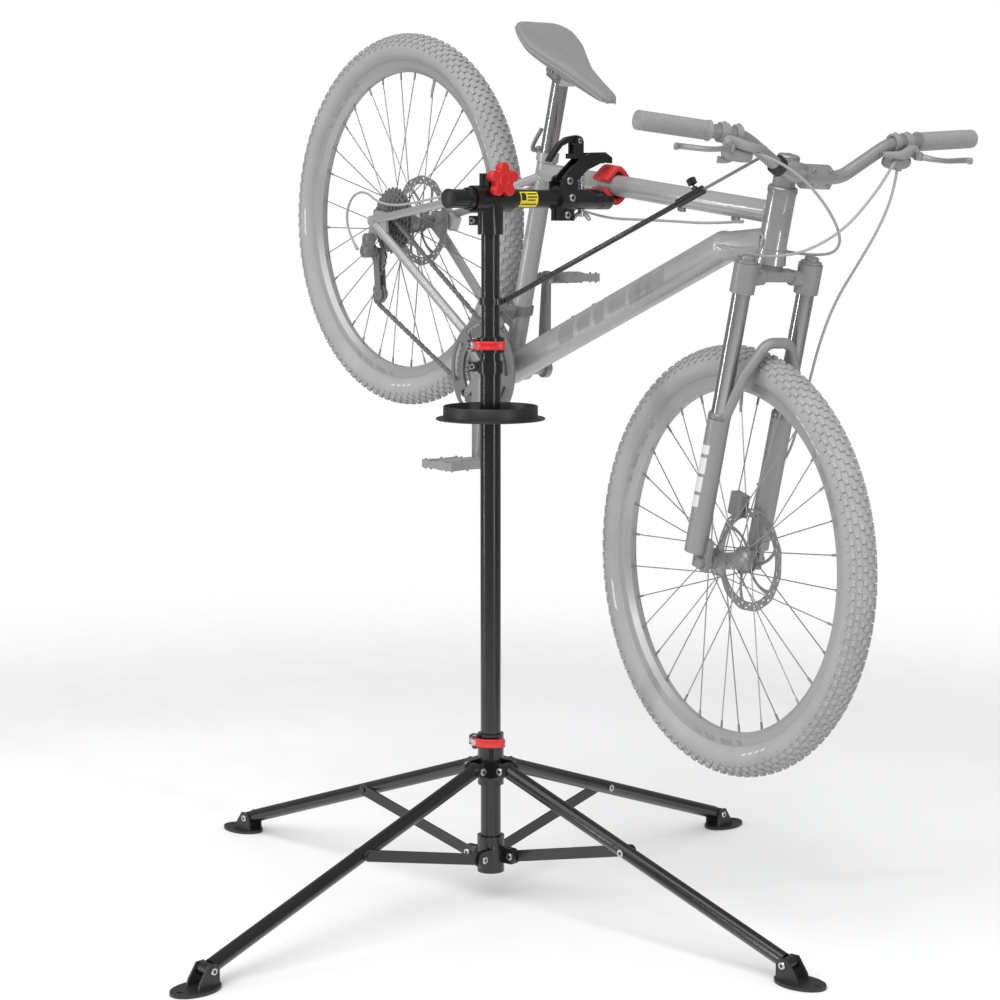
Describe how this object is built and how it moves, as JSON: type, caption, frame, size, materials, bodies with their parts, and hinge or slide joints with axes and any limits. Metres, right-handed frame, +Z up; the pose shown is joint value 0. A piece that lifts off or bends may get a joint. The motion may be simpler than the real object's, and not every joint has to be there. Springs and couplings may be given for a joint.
{
  "type": "bicycle on repair stand",
  "caption": "Folding bicycle repair stand with a quick-clamp arm, tool tray and handlebar rod, holding a hardtail mountain bicycle by its top tube.",
  "frame": {"origin": "middle of the whole object's box, at floor level", "axes": "+X the way the bicycle heads, +Y along the clamp arm towards the bicycle, +Z up"},
  "size_m": [1.7154, 1.42, 1.5665],
  "materials": {
    "black_paint": "satin black powder coat",
    "black_plastic": "moulded matt",
    "red_plastic": "moulded gloss",
    "red_pad": "soft pad",
    "frame_grey": "pale grey paint",
    "tyre_grey": "knobbed rubber, grey",
    "metal_grey": "satin",
    "steel_grey": "satin",
    "grey_plastic": "moulded",
    "grey_rubber": "soft",
    "saddle_grey": "synthetic leather"
  },
  "bodies": {
    "pole": {"lower_pole": "black_paint", "base_hub": "black_paint", "pole_collars": "black_paint"},
    "tray": {"tool_tray": "black_plastic"},
    "upper_lever": {"upper_lever": "red_plastic"},
    "leg_collar": {"leg_collar": "black_paint"},
    "lower_lever": {"lower_lever": "red_plastic"},
    "leg_1": {"leg_1": "black_paint"},
    "foot_1": {"foot_1": "black_plastic"},
    "strut_1": {"strut_1": "black_paint"},
    "leg_2": {"leg_2": "black_paint"},
    "foot_2": {"foot_2": "black_plastic"},
    "strut_2": {"strut_2": "black_paint"},
    "leg_3": {"leg_3": "black_paint"},
    "foot_3": {"foot_3": "black_plastic"},
    "strut_3": {"strut_3": "black_paint"},
    "leg_4": {"leg_4": "black_paint"},
    "foot_4": {"foot_4": "black_plastic"},
    "strut_4": {"strut_4": "black_paint"},
    "upper_pole": {"upper_pole": "black_paint", "arm_head": "black_paint"},
    "head_knob": {"head_knob": "red_plastic"},
    "clamp_arm": {"clamp_arm": "black_paint", "clamp_body": "black_paint", "lower_jaw_pad": "red_pad", "head_tube": "frame_grey", "top_tube": "frame_grey", "down_tube": "frame_grey", "seat_tube": "frame_grey", "rear_triangle": "frame_grey", "derailleurs": "grey_plastic", "chain": "steel_grey", "cables": "grey_plastic"},
    "upper_jaw": {"upper_jaw": "black_paint", "upper_jaw_pad": "red_pad"},
    "cam_lever": {"cam_lever": "black_paint"},
    "wing_bolt": {"wing_bolt": "steel_grey"},
    "rod_collar": {"rod_collar": "black_paint"},
    "holder_rod": {"holder_rod": "black_paint"},
    "slide_rod": {"slide_rod": "steel_grey"},
    "rod_screw": {"rod_screw": "black_plastic"},
    "fork": {"fork_crown": "metal_grey", "stem": "metal_grey", "handlebar": "metal_grey", "grips_and_controls": "grey_rubber"},
    "brake_lever_right": {"brake_lever_right": "metal_grey"},
    "brake_lever_left": {"brake_lever_left": "metal_grey"},
    "fork_lowers": {"fork_lowers": "metal_grey"},
    "front_wheel": {"front_tyre": "tyre_grey", "front_rim": "metal_grey", "front_hub": "metal_grey"},
    "rear_wheel": {"rear_tyre": "tyre_grey", "rear_rim": "metal_grey", "rear_hub": "metal_grey"},
    "crankset": {"crankset": "metal_grey"},
    "cassette": {"cassette": "steel_grey"},
    "pedal_right": {"pedal_right": "grey_plastic"},
    "pedal_left": {"pedal_left": "grey_plastic"},
    "seatpost": {"seatpost": "metal_grey", "saddle": "saddle_grey"}
  },
  "joints": [
    {"name": "tray_height", "type": "slide", "parent": "pole", "child": "tray", "axis": [0, 0, 1], "range_m": [-0.25, 0.05]},
    {"name": "upper_lever_swing", "type": "hinge", "parent": "pole", "child": "upper_lever", "pos_m": [0.14135, -0.02983, 0.983], "axis": [0, 0, -1], "range_deg": [0, 100]},
    {"name": "leg_fold", "type": "slide", "parent": "pole", "child": "leg_collar", "axis": [0, 0, 1], "range_m": [0, 0.4116]},
    {"name": "lower_lever_swing", "type": "hinge", "parent": "leg_collar", "child": "lower_lever", "pos_m": [0.14135, -0.02983, 0.287], "axis": [0, 0, -1], "range_deg": [0, 100]},
    {"name": "leg_1_hinge", "type": "hinge", "parent": "leg_collar", "child": "leg_1", "pos_m": [0.1852, 0.00607, 0.239], "axis": [-0.1599, 0.9871, 0], "range_deg": [0, 67.11]},
    {"name": "foot_1_hinge", "type": "hinge", "parent": "leg_1", "child": "foot_1", "pos_m": [0.78933, 0.10392, 0.029], "axis": [-0.1599, 0.9871, 0], "range_deg": [-67.11, 0]},
    {"name": "strut_1_hinge", "type": "hinge", "parent": "pole", "child": "strut_1", "pos_m": [0.1852, 0.00607, 0.081], "axis": [-0.1599, 0.9871, 0], "range_deg": [-72.79, 0]},
    {"name": "leg_2_hinge", "type": "hinge", "parent": "leg_collar", "child": "leg_2", "pos_m": [0.14161, 0.03751, 0.239], "axis": [-0.9871, -0.1599, 0], "range_deg": [0, 67.11]},
    {"name": "foot_2_hinge", "type": "hinge", "parent": "leg_2", "child": "foot_2", "pos_m": [0.04377, 0.64164, 0.029], "axis": [-0.9871, -0.1599, 0], "range_deg": [-67.11, 0]},
    {"name": "strut_2_hinge", "type": "hinge", "parent": "pole", "child": "strut_2", "pos_m": [0.14161, 0.03751, 0.081], "axis": [-0.9871, -0.1599, 0], "range_deg": [-72.79, 0]},
    {"name": "leg_3_hinge", "type": "hinge", "parent": "leg_collar", "child": "leg_3", "pos_m": [0.11018, -0.00607, 0.239], "axis": [0.1599, -0.9871, 0], "range_deg": [0, 67.11]},
    {"name": "foot_3_hinge", "type": "hinge", "parent": "leg_3", "child": "foot_3", "pos_m": [-0.49395, -0.10392, 0.029], "axis": [0.1599, -0.9871, 0], "range_deg": [-67.11, 0]},
    {"name": "strut_3_hinge", "type": "hinge", "parent": "pole", "child": "strut_3", "pos_m": [0.11018, -0.00607, 0.081], "axis": [0.1599, -0.9871, 0], "range_deg": [-72.79, 0]},
    {"name": "leg_4_hinge", "type": "hinge", "parent": "leg_collar", "child": "leg_4", "pos_m": [0.15377, -0.03751, 0.239], "axis": [0.9871, 0.1599, 0], "range_deg": [0, 67.11]},
    {"name": "foot_4_hinge", "type": "hinge", "parent": "leg_4", "child": "foot_4", "pos_m": [0.25161, -0.64164, 0.029], "axis": [0.9871, 0.1599, 0], "range_deg": [-67.11, 0]},
    {"name": "strut_4_hinge", "type": "hinge", "parent": "pole", "child": "strut_4", "pos_m": [0.15377, -0.03751, 0.081], "axis": [0.9871, 0.1599, 0], "range_deg": [-72.79, 0]},
    {"name": "pole_height", "type": "slide", "parent": "pole", "child": "upper_pole", "axis": [0, 0, 1], "range_m": [-0.04, 0.3]},
    {"name": "head_knob_turn", "type": "hinge", "parent": "upper_pole", "child": "head_knob", "pos_m": [0.17769, 0, 1.264], "axis": [1, 0, 0], "continuous": true},
    {"name": "arm_turn", "type": "hinge", "parent": "upper_pole", "child": "clamp_arm", "pos_m": [0.14769, 0, 1.233], "axis": [0, 1, 0], "range_deg": [-45, 0]},
    {"name": "jaw_open", "type": "hinge", "parent": "clamp_arm", "child": "upper_jaw", "pos_m": [0.14769, 0.159, 1.264], "axis": [1, 0, 0], "range_deg": [0, 28]},
    {"name": "cam_lever_throw", "type": "hinge", "parent": "upper_jaw", "child": "cam_lever", "pos_m": [0.14769, 0.189, 1.334], "axis": [-1, 0, 0], "range_deg": [0, 80]},
    {"name": "wing_bolt_turn", "type": "hinge", "parent": "clamp_arm", "child": "wing_bolt", "pos_m": [0.14769, 0.201, 1.25], "axis": [0, 0, 1], "continuous": true},
    {"name": "rod_collar_swivel", "type": "hinge", "parent": "upper_pole", "child": "rod_collar", "pos_m": [0.14769, 0, 1.058], "axis": [0, 0, 1], "range_deg": [0, 4]},
    {"name": "holder_rod_tilt", "type": "hinge", "parent": "rod_collar", "child": "holder_rod", "pos_m": [0.17369, 0.008, 1.058], "axis": [-0.3361, 0.9418, 0], "range_deg": [0, 78]},
    {"name": "slide_rod_reach", "type": "slide", "parent": "holder_rod", "child": "slide_rod", "axis": [0.8449, 0.3015, 0.4418], "range_m": [-0.11, 0]},
    {"name": "rod_screw_turn", "type": "hinge", "parent": "holder_rod", "child": "rod_screw", "pos_m": [0.51518, 0.12986, 1.25883], "axis": [-0.4161, -0.1485, 0.8971], "continuous": true},
    {"name": "steering", "type": "hinge", "parent": "clamp_arm", "child": "fork", "pos_m": [0.54875, 0.2712, 1.11783], "axis": [0.2328, 0, 0.9725], "range_deg": [0, 30], "deforming": ["cables"]},
    {"name": "brake_lever_right_pull", "type": "hinge", "parent": "fork", "child": "brake_lever_right", "pos_m": [0.66879, 0.07144, 1.31095], "axis": [-0.2328, 0, -0.9725], "range_deg": [0, 12], "stiffness_Nm_per_rad": 1.5},
    {"name": "brake_lever_left_pull", "type": "hinge", "parent": "fork", "child": "brake_lever_left", "pos_m": [0.71215, 0.44872, 1.30058], "axis": [0.2328, 0, 0.9725], "range_deg": [0, 12], "stiffness_Nm_per_rad": 1.5},
    {"name": "fork_travel", "type": "slide", "parent": "fork", "child": "fork_lowers", "axis": [0.2328, 0, 0.9725], "range_m": [0, 0.08], "stiffness_N_per_m": 6000, "deforming": ["cables"]},
    {"name": "front_wheel_spin", "type": "hinge", "parent": "fork_lowers", "child": "front_wheel", "pos_m": [0.47058, 0.2665, 0.62056], "axis": [0.1141, 0.9931, -0.0273], "continuous": true},
    {"name": "rear_wheel_spin", "type": "hinge", "parent": "clamp_arm", "child": "rear_wheel", "pos_m": [-0.48971, 0.2712, 1.1922], "axis": [0, 1, 0], "continuous": true},
    {"name": "crank_spin", "type": "hinge", "parent": "clamp_arm", "child": "crankset", "pos_m": [-0.14145, 0.2712, 0.91312], "axis": [0, 1, 0], "continuous": true},
    {"name": "cassette_spin", "type": "hinge", "parent": "clamp_arm", "child": "cassette", "pos_m": [-0.48971, 0.2712, 1.1922], "axis": [0, 1, 0], "continuous": true},
    {"name": "pedal_right_spin", "type": "hinge", "parent": "crankset", "child": "pedal_right", "pos_m": [-0.14703, 0.1712, 0.74121], "axis": [0, 1, 0], "continuous": true},
    {"name": "pedal_left_spin", "type": "hinge", "parent": "crankset", "child": "pedal_left", "pos_m": [-0.13587, 0.3712, 1.08503], "axis": [0, 1, 0], "continuous": true},
    {"name": "seatpost_height", "type": "slide", "parent": "clamp_arm", "child": "seatpost", "axis": [0.2615, 0, 0.9652], "range_m": [-0.1, 0]}
  ],
  "couplings": [
    {"joint": "leg_1_hinge", "follows": "leg_fold", "rad_per_m": 2.8436},
    {"joint": "foot_1_hinge", "follows": "leg_fold", "rad_per_m": -2.8436},
    {"joint": "strut_1_hinge", "follows": "leg_fold", "rad_per_m": -3.0844},
    {"joint": "leg_2_hinge", "follows": "leg_fold", "rad_per_m": 2.8436},
    {"joint": "foot_2_hinge", "follows": "leg_fold", "rad_per_m": -2.8436},
    {"joint": "strut_2_hinge", "follows": "leg_fold", "rad_per_m": -3.0844},
    {"joint": "leg_3_hinge", "follows": "leg_fold", "rad_per_m": 2.8436},
    {"joint": "foot_3_hinge", "follows": "leg_fold", "rad_per_m": -2.8436},
    {"joint": "strut_3_hinge", "follows": "leg_fold", "rad_per_m": -3.0844},
    {"joint": "leg_4_hinge", "follows": "leg_fold", "rad_per_m": 2.8436},
    {"joint": "foot_4_hinge", "follows": "leg_fold", "rad_per_m": -2.8436},
    {"joint": "strut_4_hinge", "follows": "leg_fold", "rad_per_m": -3.0844},
    {"joint": "cassette_spin", "follows": "crank_spin", "ratio": 2.4615}
  ]
}
